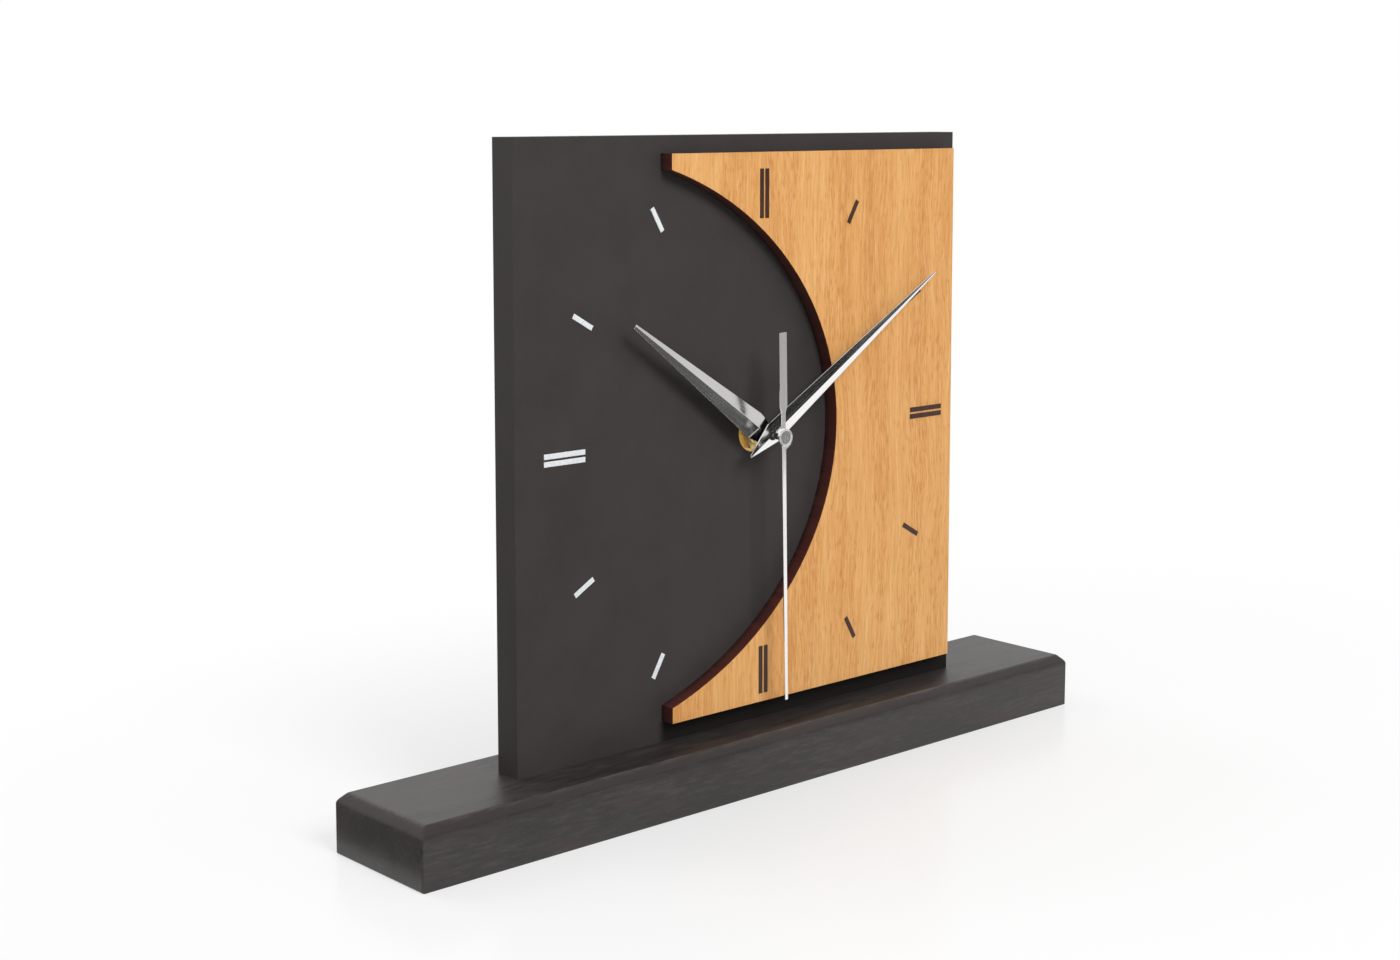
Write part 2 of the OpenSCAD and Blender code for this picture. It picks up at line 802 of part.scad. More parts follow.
module intermediate_wheel() {
    color("ivory") on_dial() translate(fast_at) {
        translate([0, 0, second_wheel_level - pinion_t])
            gear(fast_pinion_teeth, second_module, pinion_t, fast_pinion_turn);
        translate([0, 0, fast_level - pinion_proud - wheel_t]) gear(fast_teeth, rotor_module, wheel_t);
        rod(arbor_pivot_r, boss_level - pivot_depth, bridge_level);
    }
}

module rotor_pinion() {
    color("white") on_dial() translate(rotor_at) {
        translate([0, 0, fast_level - pinion_t]) gear(rotor_teeth, rotor_module, pinion_t, rotor_turn);
        rod(rotor_stem_r, fast_level, magnet_level - magnet_t);
        rod(rotor_disc_r, magnet_level - magnet_t - rotor_disc_t, magnet_level - magnet_t);
        rod(magnet_bore, magnet_level - magnet_t, magnet_level);
        rod(arbor_pivot_r, boss_level - pivot_depth, wall_in + pivot_depth - run_fit);
    }
}

module rotor_magnet() {
    color([0.3, 0.3, 0.32]) behind(magnet_level, magnet_t) translate(rotor_at)
        ring(magnet_r, magnet_bore, magnet_t);
}

// Movement: stator and coil

module stator() {
    color([0.65, 0.66, 0.68]) behind(stator_level, stator_t) difference() {
        union() {
            translate([-stator_half, rotor_at[1] - stator_side, 0]) cube([
                2 * stator_half,
                coil_y - flange_coil_r - slip_fit - rotor_at[1] + stator_side,
                stator_t
            ]);
            for (x = [-stator_half, stator_half - stator_leg_w])
                translate([x, rotor_at[1] - stator_side, 0])
                    cube([stator_leg_w, coil_y + core_w / 2 - rotor_at[1] + stator_side, stator_t]);
        }
        translate(rotor_at) {
            bore(stator_hole_r, stator_t);
            for (side = [-1, 1]) translate([0, side * stator_hole_r, 0])
                bore(stator_notch_r, stator_t);
        }
    }
}

module coil_core() {
    color([0.6, 0.61, 0.63]) behind(stator_level - stator_t, core_bar_t)
        translate([-stator_half, coil_y - core_w / 2, 0]) cube([2 * stator_half, core_w, core_bar_t]);
}

// Puts a child that lies along z on the coil's axis, along x
module on_coil() {
    on_dial(coil_level) translate([0, coil_y, 0]) rotate([0, 90, 0]) children();
}

module coil_bobbin() {
    color([0.9, 0.88, 0.8]) on_coil() difference() {
        union() {
            cube([core_bar_t + 2 * bobbin_wall, core_w + 2 * bobbin_wall, 2 * coil_half], center = true);
            for (side = [-1, 1]) translate([0, 0, side * (coil_half - coil_flange_t / 2)])
                cylinder(coil_flange_t, r = flange_coil_r, center = true, $fn = small_fn);
        }
        cube([core_bar_t, core_w, 2 * coil_half + 2 * cut], center = true);
    }
}

module coil_winding() {
    color([0.7, 0.35, 0.15]) on_coil() difference() {
        cylinder(2 * (coil_half - coil_flange_t), r = coil_r, center = true, $fn = small_fn);
        cube([core_bar_t + 2 * bobbin_wall, core_w + 2 * bobbin_wall, 2 * coil_half], center = true);
    }
}

// Movement: circuit

module circuit_board() {
    color([0.1, 0.4, 0.2]) behind(board_level, board_t)
        translate([board_x, board_y, 0]) cube([board_w, board_h, board_t]);
}

module quartz_crystal() {
    color("silver") on_dial(board_level - board_t - crystal_r)
        translate([board_x + 2 * crystal_r, board_y + board_h - crystal_r, 0])
            rotate([90, 0, 0]) cylinder(crystal_len, r = crystal_r, $fn = small_fn);
}

module chip_cover() {
    color([0.08, 0.08, 0.08]) on_dial(board_level - board_t)
        translate([board_x + board_w - chip_r - slip_fit, board_y + board_h / 2, -chip_t])
            rotate_extrude($fn = small_fn)
                polygon([[0, 0], [chip_r / 2, 0], [chip_r, chip_t * 2 / 3], [chip_r, chip_t], [0, chip_t]]);
}

// End plate of a contact, with the neck that passes the bay's inner wall
module contact_end_plate(x) {
    translate([x, battery_y - contact_w / 2, battery_level - contact_w / 2])
        cube([contact_t, contact_w, contact_w]);
    translate([x, battery_y, cover_in]) cube([contact_t, room_low + contact_t - battery_y, rail_w]);
}

// Strip that runs up the inside of the case, and its tongue that meets the circuit board
module contact_strip(x, tongue_h, tongue_to) {
    translate([x, room_low, cover_in]) cube([contact_t, board_y + tongue_h - room_low, rail_w]);
    translate([x, board_y, cover_in]) cube([contact_t, tongue_h, tongue_to - cover_in]);
}

module positive_contact() {
    color([0.8, 0.79, 0.75]) on_dial() {
        contact_end_plate(contact_end);
        contact_strip(contact_end, board_h / 2, board_level);
    }
}

module negative_contact() {
    color([0.8, 0.79, 0.75]) on_dial() {
        contact_end_plate(-room_x);
        leaf_spring();
        translate([-room_x, room_low, cover_in]) cube([2 * room_x - contact_slot_w, contact_t, rail_w]);
        contact_strip(room_x - contact_slot_w - contact_t, board_h / 4, board_level - board_t);
    }
}

// Bowed strip on the negative end plate that presses on the battery
module leaf_spring() {
    translate([-room_x, battery_y - contact_w / 4, battery_level]) rotate([-90, 0, 0])
        linear_extrude(contact_w / 2) polygon([
            [0, contact_w / 2], [spring_bow, contact_t], [spring_bow, -contact_t], [0, -contact_w / 2],
            [0, -contact_w / 2 + contact_t], [spring_bow - contact_t, 0], [0, contact_w / 2 - contact_t]
        ]);
}

// Battery

module on_battery() {
    on_dial(battery_level) translate([battery_end - nub_len, battery_y, 0]) rotate([0, -90, 0]) children();
}

module battery_can() {
    color([0.8, 0.8, 0.8]) on_battery() {
        cylinder(battery_len, r = battery_r - sleeve_t, $fn = round_fn);
        rod(nub_r, -nub_len, 0);
    }
}

module battery_sleeve() {
    color([0.2, 0.35, 0.5]) on_battery() translate([0, 0, sleeve_t])
        ring(battery_r, battery_r - sleeve_t, battery_len - 2 * sleeve_t);
}

plinth();
dial_panel();
overlay_core();
oak_veneer();
light_markers();
dark_markers();
panel_screws();
seal_washer();
brass_washer();
hex_nut();
shaft_bush();
movement_case();
rear_cover();
train_bridge();
hour_wheel();
hour_hand();
cannon_pinion();
clutch_spring();
minute_hand();
centre_wheel();
third_wheel();
second_wheel();
second_arbor();
second_hand();
second_hand_cap();
intermediate_wheel();
rotor_pinion();
rotor_magnet();
motion_wheel();
set_knob();
stator();
coil_core();
coil_bobbin();
coil_winding();
circuit_board();
quartz_crystal();
chip_cover();
positive_contact();
negative_contact();
battery_can();
battery_sleeve();
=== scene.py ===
import json
import math

import bmesh
import bpy
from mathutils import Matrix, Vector


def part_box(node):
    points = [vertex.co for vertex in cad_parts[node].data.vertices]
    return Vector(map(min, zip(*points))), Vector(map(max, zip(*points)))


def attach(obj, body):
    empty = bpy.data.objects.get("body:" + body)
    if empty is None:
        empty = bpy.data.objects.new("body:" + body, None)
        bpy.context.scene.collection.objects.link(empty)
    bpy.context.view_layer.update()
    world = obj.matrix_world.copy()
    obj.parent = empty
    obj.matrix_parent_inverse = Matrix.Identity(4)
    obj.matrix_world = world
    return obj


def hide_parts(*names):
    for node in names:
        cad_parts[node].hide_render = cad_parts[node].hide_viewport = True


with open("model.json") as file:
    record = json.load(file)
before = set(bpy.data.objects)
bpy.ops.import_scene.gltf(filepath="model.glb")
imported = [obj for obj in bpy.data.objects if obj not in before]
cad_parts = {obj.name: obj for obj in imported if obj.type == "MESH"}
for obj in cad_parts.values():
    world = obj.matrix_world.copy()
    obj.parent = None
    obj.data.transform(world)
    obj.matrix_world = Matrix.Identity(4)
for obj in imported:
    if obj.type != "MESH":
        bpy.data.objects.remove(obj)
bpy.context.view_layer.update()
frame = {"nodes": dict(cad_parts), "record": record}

# Table clock: visual pieces, materials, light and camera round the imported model.

MM = 0.001

# Places in metres.
PANEL_FRONT = -0.005
DIAL_Z = 0.1185
PLINTH_TOP = 0.0195
CHAMFER_FOOT = 0.0168
GROOVE_SIDE = 0.0085
OVERLAY_LOW = 0.0268
OVERLAY_LEFT = -0.0407

# Levels in millimetres, counted forward from the board's face.
CORE_FRONT = 5.0
VENEER_FRONT = 5.6
WASHER_TOP = 0.5
NUT_TOP = 2.7
BUSH_TOP = 3.4
SECOND_LEVEL = 15.0

# Radius in millimetres of the bush's thread, and of the holes round it.
BUSH_R = 3.9

# Distance in metres within which points are one, in pieces made here and in copies of CAD nodes.
MADE_POINT = 1e-7
CAD_POINT = 2e-6

# Turn in degrees that still counts as flat.
FLAT_TURN = 0.4

# Mesh helpers


def dial_point(x, up, level):
    """A point given in millimetres from the hands' centre, level counted forward from the board's face."""
    return (x * MM, PANEL_FRONT - level * MM, DIAL_Z + up * MM)


def dial_ring(profile, turn):
    """A profile of (radius, level) pairs, stood at one turn round the hands' axis."""
    across = math.cos(turn)
    rise = math.sin(turn)
    return [dial_point(radius * across, radius * rise, level) for radius, level in profile]


def new_piece(name, verts, faces):
    mesh = bpy.data.meshes.new(name)
    mesh.from_pydata(verts, [], faces)
    mesh.update()
    piece = bpy.data.objects.new(name, mesh)
    bpy.context.scene.collection.objects.link(piece)
    return piece


def outward(piece):
    """Makes every face of a closed mesh look outward."""
    made = bmesh.new()
    made.from_mesh(piece.data)
    bmesh.ops.remove_doubles(made, verts=made.verts, dist=MADE_POINT)
    bmesh.ops.recalc_face_normals(made, faces=made.faces)
    made.to_mesh(piece.data)
    made.free()


def smooth(piece, crease=35):
    """Shades a piece smooth, but for edges that turn more than the crease in degrees."""
    piece.data.shade_smooth()
    piece.data.set_sharp_from_angle(angle=math.radians(crease))


def soften(piece, width, segments=2, crease=30):
    """Rounds every edge that turns more than the crease by a width in millimetres."""
    bevel = piece.modifiers.new("soft_edges", "BEVEL")
    bevel.width = width * MM
    bevel.segments = segments
    bevel.limit_method = "ANGLE"
    bevel.angle_limit = math.radians(crease)
    bevel.harden_normals = True
    bevel.miter_outer = "MITER_ARC"
    bevel.use_clamp_overlap = True
    return bevel


def copied(node, crease=30):
    """A copy of a CAD node with its flat faces joined up."""
    made = bmesh.new()
    made.from_mesh(frame["nodes"][node].data)
    bmesh.ops.remove_doubles(made, verts=made.verts, dist=CAD_POINT)
    bmesh.ops.dissolve_limit(
        made, angle_limit=math.radians(FLAT_TURN), verts=made.verts, edges=made.edges
    )
    mesh = bpy.data.meshes.new(node + "_piece")
    made.to_mesh(mesh)
    made.free()
    piece = bpy.data.objects.new(node + "_piece", mesh)
    bpy.context.scene.collection.objects.link(piece)
    smooth(piece, crease)
    return piece


def closed_rings(name, rings, crease=35):
    """A closed mesh through equal rings of points, the last ring joined to the first."""
    count = len(rings[0])
    faces = []
    for i in range(len(rings)):
        after = (i + 1) % len(rings)
        for j in range(count):
            k = (j + 1) % count
            faces.append((i * count + j, i * count + k, after * count + k, after * count + j))
    piece = new_piece(name, [point for ring in rings for point in ring], faces)
    outward(piece)
    smooth(piece, crease)
    return piece


def lathe(name, profile, steps=96):
    """Turns a closed profile of (radius, level) pairs about the hands' axis."""
    return closed_rings(name, [dial_ring(profile, 2 * math.pi * i / steps) for i in range(steps)])


def turned_along_x(name, profile, axis_y, axis_z, steps=96):
    """Turns a profile of (radius, x) pairs, in metres, about an axis along x."""
    rings = []
    for i in range(steps):
        turn = 2 * math.pi * i / steps
        back = math.cos(turn)
        rise = math.sin(turn)
        rings.append([(x, axis_y + radius * back, axis_z + radius * rise) for radius, x in profile])
    return closed_rings(name, rings)


def rounded(radius, level, size, start, steps=4):
    """Points of a quarter circle round a corner, for a lathe's profile."""
    points = []
    for i in range(steps + 1):
        turn = math.radians(start + 90 * i / steps)
        points.append((radius + size * math.cos(turn), level + size * math.sin(turn)))
    return points


def dress(piece, body, material, node):
    """Gives a piece its material and body, and hides the CAD node that it stands for."""
    piece.data.materials.clear()
    piece.data.materials.append(material)
    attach(piece, body)
    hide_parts(node)


# Material helpers


class Look:
    """A material with one Principled shader, and short calls for the nodes in front of it."""

    def __init__(self, name, **constants):
        self.material = bpy.data.materials.new(name)
        self.material.use_nodes = True
        self.tree = self.material.node_tree
        self.shader = self.tree.nodes["Principled BSDF"]
        for socket, value in constants.items():
            self.shader.inputs[socket.replace("_", " ")].default_value = value
        self.place = self.tree.nodes.new("ShaderNodeTexCoord").outputs["Object"]

    def put(self, node, socket, value):
        """Links a socket, or sets it to a plain value."""
        if isinstance(value, bpy.types.NodeSocket):
            self.tree.links.new(value, node.inputs[socket])
        else:
            node.inputs[socket].default_value = value

    def mapped(self, scale=(1, 1, 1), turn=(0, 0, 0), move=(0, 0, 0), source=None):
        """Object coordinates, or another source, scaled, turned and moved."""
        node = self.tree.nodes.new("ShaderNodeMapping")
        self.put(node, "Vector", source or self.place)
        self.put(node, "Scale", scale)
        self.put(node, "Rotation", turn)
        self.put(node, "Location", move)
        return node.outputs["Vector"]

    def noise(self, vector, scale, detail=4.0, roughness=0.55, distortion=0.0):
        node = self.tree.nodes.new("ShaderNodeTexNoise")
        self.put(node, "Vector", vector)
        self.put(node, "Scale", scale)
        self.put(node, "Detail", detail)
        self.put(node, "Roughness", roughness)
        self.put(node, "Distortion", distortion)
        return node.outputs["Fac"]

    def cells(self, vector, scale, randomness):
        """Distance from the nearest of many scattered points."""
        node = self.tree.nodes.new("ShaderNodeTexVoronoi")
        self.put(node, "Vector", vector)
        self.put(node, "Scale", scale)
        self.put(node, "Randomness", randomness)
        return node.outputs["Distance"]

    def ramp(self, factor, *stops):
        """Blends from colour to colour, each stop being (position, colour or grey)."""
        node = self.tree.nodes.new("ShaderNodeValToRGB")
        self.put(node, "Fac", factor)
        elements = node.color_ramp.elements
        while len(elements) < len(stops):
            elements.new(0.5)
        for element, (position, color) in zip(elements, stops):
            element.position = position
            element.color = (*color, 1) if isinstance(color, tuple) else (color,) * 3 + (1,)
        return node.outputs["Color"]

    def range(self, factor, low, high, out_low, out_high, kind="LINEAR"):
        """Carries low and high over to the two out values, blends between them and holds the ends."""
        node = self.tree.nodes.new("ShaderNodeMapRange")
        node.interpolation_type = kind
        self.put(node, "Value", factor)
        self.put(node, "From Min", low)
        self.put(node, "From Max", high)
        self.put(node, "To Min", out_low)
        self.put(node, "To Max", out_high)
        return node.outputs["Result"]

    def math(self, operation, first, second=0.0):
        node = self.tree.nodes.new("ShaderNodeMath")
        node.operation = operation
        self.put(node, 0, first)
        self.put(node, 1, second)
        return node.outputs["Value"]

    def plus(self, first, second):
        return self.math("ADD", first, second)

    def less(self, first, second):
        return self.math("SUBTRACT", first, second)

    def times(self, first, second):
        return self.math("MULTIPLY", first, second)

    def mix(self, factor, first, second):
        node = self.tree.nodes.new("ShaderNodeMix")
        node.data_type = "RGBA"
        node.blend_type = "MIX"
        self.put(node, 0, factor)
        self.put(node, 6, (*first, 1) if isinstance(first, tuple) else first)
        self.put(node, 7, (*second, 1) if isinstance(second, tuple) else second)
        return node.outputs[2]

    def parts(self, vector=None):
        """The x, y and z of a vector, or of the place."""
        node = self.tree.nodes.new("ShaderNodeSeparateXYZ")
        self.put(node, "Vector", vector or self.place)
        return node.outputs["X"], node.outputs["Y"], node.outputs["Z"]

    def joined(self, x, y, z=0.0):
        node = self.tree.nodes.new("ShaderNodeCombineXYZ")
        self.put(node, "X", x)
        self.put(node, "Y", y)
        self.put(node, "Z", z)
        return node.outputs["Vector"]

    def geometry(self, output):
        return self.tree.nodes.new("ShaderNodeNewGeometry").outputs[output]

    def facing_back(self):
        """The y of the surface's normal: -1 where it faces the front and 1 where it faces the back."""
        return self.parts(self.geometry("Normal"))[1]

    def worn(self, amount):
        """1 along convex edges and 0 on flat faces."""
        return self.range(self.geometry("Pointiness"), 0.5, 0.5 + amount, 0.0, 1.0)

    def round_dial(self):
        """The distance from the hands' axis, and the place along it."""
        x, y, z = self.parts(self.mapped(move=(0, 0, -DIAL_Z)))
        radius = self.math("SQRT", self.plus(self.times(x, x), self.times(z, z)))
        return radius, y

    def color(self, value):
        self.put(self.shader, "Base Color", value)

    def roughness(self, value):
        self.put(self.shader, "Roughness", value)

    def bump(self, height, distance, strength=1.0):
        """Raises the surface by a distance in millimetres where height is 1."""
        node = self.tree.nodes.new("ShaderNodeBump")
        self.put(node, "Strength", strength)
        self.put(node, "Distance", distance * MM)
        self.put(node, "Height", height)
        self.put(self.shader, "Normal", node.outputs["Normal"])


# Materials


def oak():
    """Oiled oak veneer with wavy upright fibres, open pores, pale flecks and a burnt cut edge."""
    pale, middle, deep = (0.86, 0.48, 0.178), (0.8, 0.415, 0.14), (0.7, 0.335, 0.102)
    fibre_brown, thread_brown, pore_brown = (0.58, 0.25, 0.07), (0.56, 0.235, 0.065), (0.53, 0.215, 0.06)
    fleck_pale, burnt = (0.87, 0.52, 0.23), (0.075, 0.028, 0.013)
    wide_wave, fine_wave = 0.009, 0.0011
    look = Look("oak_veneer_wood", IOR=1.42)
    waves = look.noise(look.mapped((9, 9, 5)), 3.0, 2.0)
    curls = look.noise(look.mapped((1, 1, 0.5), move=(7, 0, 0)), 150, 2.0)
    wide_sway = look.times(look.less(waves, 0.5), wide_wave)
    fine_sway = look.times(look.less(curls, 0.5), fine_wave)
    x, y, z = look.parts()
    grain = look.joined(look.plus(x, look.plus(wide_sway, fine_sway)), y, z)
    bands = look.noise(look.mapped((1, 1, 0.05), source=grain), 120, 3.0, 0.6)
    wide = look.noise(look.mapped((1, 1, 0.12), source=grain, move=(3, 0, 0)), 34, 2.0, 0.5)
    fibres = look.noise(look.mapped((1, 1, 0.04), source=grain, move=(1, 0, 3)), 950, 3.0, 0.6)
    threads = look.noise(look.mapped((1, 1, 0.04), source=grain, move=(2, 0, 0)), 2300, 3.0, 0.6)
    pores = look.noise(look.mapped((1, 1, 0.12), source=grain, move=(0, 0, 5)), 1700, 2.0, 0.55)
    flecks = look.noise(look.mapped((1, 1, 0.07), source=grain, move=(0, 0, 2)), 1100, 2.0, 0.5)
    rings = look.range(bands, 0.42, 0.6, 0.0, 0.09)
    pore_cut = look.range(look.plus(pores, rings), 0.58, 0.7, 0.0, 1.0)
    tone = look.plus(look.times(bands, 0.6), look.times(wide, 0.4))
    base = look.ramp(tone, (0.34, pale), (0.5, middle), (0.66, deep))
    fine = look.mix(look.range(fibres, 0.4, 0.64, 0.0, 0.4), base, fibre_brown)
    thread = look.mix(look.range(threads, 0.42, 0.66, 0.0, 0.34), fine, thread_brown)
    lit = look.mix(look.range(flecks, 0.52, 0.68, 0.0, 0.42), thread, fleck_pale)
    face = look.mix(look.times(pore_cut, 0.6), lit, pore_brown)
    look.color(look.mix(look.range(look.facing_back(), -0.8, -0.5, 0.0, 1.0), face, burnt))
    look.roughness(look.range(fibres, 0.3, 0.7, 0.45, 0.6))
    look.bump(look.less(fibres, look.times(pore_cut, 0.8)), 0.04, 0.5)
    return look.material


def stained_board():
    """Smooth fibreboard with a matt black-brown stain, with painted shade: near-black in the corner under
    the overlay.
    """
    dark, pale = (0.037, 0.0325, 0.0315), (0.047, 0.0405, 0.039)
    speck, painted_shade_black = (0.056, 0.047, 0.0445), (0.006, 0.005, 0.0045)
    look = Look("stained_board_finish", IOR=1.36)
    clouds = look.noise(look.mapped(), 60, 4.0, 0.6)
    specks = look.noise(look.mapped(), 1400, 3.0, 0.7)
    base = look.ramp(clouds, (0.3, dark), (0.7, pale))
    stain = look.mix(look.range(specks, 0.45, 0.8, 0.0, 0.5), base, speck)
    x, y, z = look.parts()
    # Painted shade: the board is coloured near-black in the corner under the overlay, where the overlay's
    # shadow falls; the same mask makes it rougher there.
    low = look.range(z, OVERLAY_LOW - 0.6 * MM, OVERLAY_LOW, 1.0, 0.0)
    beside = look.range(x, OVERLAY_LEFT - 1.8 * MM, OVERLAY_LEFT + 1.2 * MM, 0.0, 1.0)
    in_front = look.range(y, PANEL_FRONT + 0.2 * MM, PANEL_FRONT + 0.4 * MM, 1.0, 0.0)
    corner = look.times(look.times(low, beside), in_front)
    look.color(look.mix(look.times(corner, 0.85), stain, painted_shade_black))
    look.roughness(look.plus(look.range(clouds, 0.3, 0.7, 0.52, 0.62), look.times(corner, 0.2)))
    look.bump(specks, 0.03, 0.35)
    return look.material


def stained_plinth():
    """Dark stained wood: mottled along its length, browner and rougher along the chamfer."""
    black, middle, grey = (0.0075, 0.0065, 0.0061), (0.0185, 0.0156, 0.0145), (0.043, 0.0365, 0.0335)
    streak_black, red_brown, speck = (0.009, 0.0082, 0.0082), (0.04, 0.019, 0.016), (0.06, 0.05, 0.046)
    chamfer_brown, scuffed = (0.013, 0.0085, 0.0075), (0.06, 0.046, 0.04)
    look = Look("stained_plinth_finish", IOR=1.62, Sheen_Weight=0.05, Sheen_Roughness=0.4)
    look.shader.inputs["Sheen Tint"].default_value = (1, 0.98, 0.96, 1)
    mottle = look.noise(look.mapped((0.12, 1, 1)), 900, 4.0, 0.7)
    patches = look.noise(look.mapped((0.15, 1, 1), move=(1, 0, 0)), 160, 3.0, 0.6)
    streaks = look.noise(look.mapped((0.03, 1, 1), move=(2, 0, 0)), 700, 4.0, 0.65, 0.2)
    specks = look.noise(look.mapped((0.5, 1, 1), move=(3, 0, 0)), 1900, 3.0, 0.7)
    red = look.noise(look.mapped((0.3, 1, 1), move=(4, 1, 0)), 130, 3.0, 0.6)
    tone = look.plus(look.times(mottle, 0.7), look.times(patches, 0.3))
    base = look.ramp(tone, (0.38, black), (0.5, middle), (0.62, grey))
    dark = look.mix(look.range(streaks, 0.45, 0.68, 0.0, 0.4), base, streak_black)
    warm = look.mix(look.range(red, 0.5, 0.68, 0.0, 0.42), dark, red_brown)
    speckled = look.mix(look.range(specks, 0.55, 0.75, 0.0, 0.45), warm, speck)
    z = look.parts()[2]
    # The chamfer band is coloured a darker brown than the faces round it.
    above_foot = look.range(z, CHAMFER_FOOT - 0.4 * MM, CHAMFER_FOOT + 0.4 * MM, 0.0, 1.0)
    below_top = look.range(z, PLINTH_TOP - 0.5 * MM, PLINTH_TOP - 0.1 * MM, 1.0, 0.0)
    chamfer = look.times(above_foot, below_top)
    chamfer_darkened = look.mix(look.times(chamfer, 0.65), speckled, chamfer_brown)
    near_top = look.range(z, PLINTH_TOP - 1.3 * MM, PLINTH_TOP - 0.2 * MM, 0.0, 0.75)
    scuffs = look.times(near_top, look.range(mottle, 0.44, 0.6, 0.0, 1.0))
    off_top = look.range(z, PLINTH_TOP - 0.1 * MM, PLINTH_TOP - 0.02 * MM, 1.0, 0.0)
    look.color(look.mix(look.times(scuffs, off_top), chamfer_darkened, scuffed))
    sanded = look.range(mottle, 0.3, 0.7, 0.4, 0.52)
    sawn = look.range(z, CHAMFER_FOOT - 2 * MM, CHAMFER_FOOT - 0.6 * MM, 0.0, 0.15)
    look.roughness(look.plus(sanded, look.times(sawn, below_top)))
    look.bump(look.plus(streaks, mottle), 0.05, 0.5)
    return look.material


def hardboard():
    """Laser-cut edge of dense hardboard: red-brown in front, with painted shade making it nearly black
    towards the back, where it meets the board.
    """
    front_black, red = (0.02, 0.007, 0.0055), (0.075, 0.015, 0.0115)
    brown, back_painted_shade_black = (0.055, 0.0125, 0.0095), (0.009, 0.0045, 0.004)
    streak_red = (0.1, 0.031, 0.022)
    look = Look("hardboard_edge", IOR=1.45)
    y = look.parts()[1]
    depth = look.range(y, PANEL_FRONT - VENEER_FRONT * MM, PANEL_FRONT, 0.0, 1.0)
    burn = look.noise(look.mapped((1, 0.08, 1)), 700, 4.0, 0.65)
    shade = look.plus(depth, look.times(look.less(burn, 0.5), 0.35))
    # Painted shade: the back of the edge, next to the board, is coloured nearly black in place of the
    # contact shadow there.
    base = look.ramp(shade, (0.04, front_black), (0.14, red), (0.6, brown), (0.86, back_painted_shade_black))
    look.color(look.mix(look.range(burn, 0.4, 0.75, 0.0, 0.5), base, streak_red))
    look.roughness(look.range(burn, 0.3, 0.7, 0.5, 0.7))
    look.bump(burn, 0.06, 0.5)
    return look.material


def white_mark():
    """Thin white film, faintly mottled."""
    look = Look("white_mark_film", IOR=1.45)
    grain = look.noise(look.mapped(), 900, 3.0, 0.6)
    look.color(look.ramp(grain, (0.3, (0.7, 0.73, 0.75)), (0.7, (0.83, 0.85, 0.87))))
    look.roughness(look.range(grain, 0.3, 0.7, 0.35, 0.5))
    look.bump(grain, 0.02, 0.3)
    return look.material


def brown_mark():
    """Dark brown film over the oak, with the fibres showing faintly through."""
    look = Look("brown_mark_film", IOR=1.35)
    grain = look.noise(look.mapped((1, 1, 0.05)), 1100, 4.0, 0.6)
    look.color(look.ramp(grain, (0.3, (0.036, 0.0155, 0.0105)), (0.7, (0.072, 0.034, 0.024))))
    look.roughness(look.range(grain, 0.3, 0.7, 0.28, 0.42))
    look.bump(grain, 0.02, 0.4)
    return look.material


def brushed(name, color, rough, angle, depth=0.0016, painted_back_shade=0.05):
    """Metal brushed along a hand turned clockwise by an angle in degrees, with painted shade on its back:
    faces towards the back take a plain grey.
    """
    look = Look(name, Metallic=1.0)
    at_centre = look.mapped(move=(0, 0, -DIAL_Z))
    turned = look.mapped(turn=(0, math.radians(-angle), 0), source=at_centre)
    lines = look.noise(look.mapped((1, 1, 0.02), source=turned), 2400, 3.0, 0.6)
    clouds = look.noise(look.mapped((1, 1, 0.4), source=turned), 160, 3.0, 0.6)
    light = tuple(min(1.0, c * 1.04) for c in color)
    dark = tuple(c * 0.94 for c in color)
    # Painted shade: faces turned towards the back are coloured a plain grey, near-black for the hour and
    # minute hands, in place of the shade under the hand.
    back = look.range(look.facing_back(), 0.3, 0.5, 0.0, 1.0)
    look.color(look.mix(back, look.ramp(lines, (0.35, dark), (0.65, light)), (painted_back_shade, painted_back_shade, painted_back_shade)))
    fine = look.range(lines, 0.3, 0.7, -0.04, 0.05)
    look.roughness(look.plus(fine, look.range(clouds, 0.3, 0.7, rough, rough + 0.05)))
    look.bump(lines, depth, 0.5)
    return look.material


def turned_metal(name, color, rough, depth):
    """Metal with the fine rings that a lathe leaves round the hands' axis."""
    look = Look(name, Metallic=1.0)
    radius, y = look.round_dial()
    rings = look.noise(look.mapped((1, 0.6, 1), source=look.joined(radius, y)), 4200, 3.0, 0.6)
    stains = look.noise(look.mapped(), 380, 3.0, 0.6)
    dark = tuple(c * 0.8 for c in color)
    look.color(look.mix(look.range(stains, 0.45, 0.8, 0.0, 0.6), color, dark))
    fine = look.range(rings, 0.3, 0.7, -0.03, 0.05)
    look.roughness(look.plus(fine, look.range(stains, 0.3, 0.7, rough, rough + 0.08)))
    look.bump(rings, depth, 0.5)
    return look.material


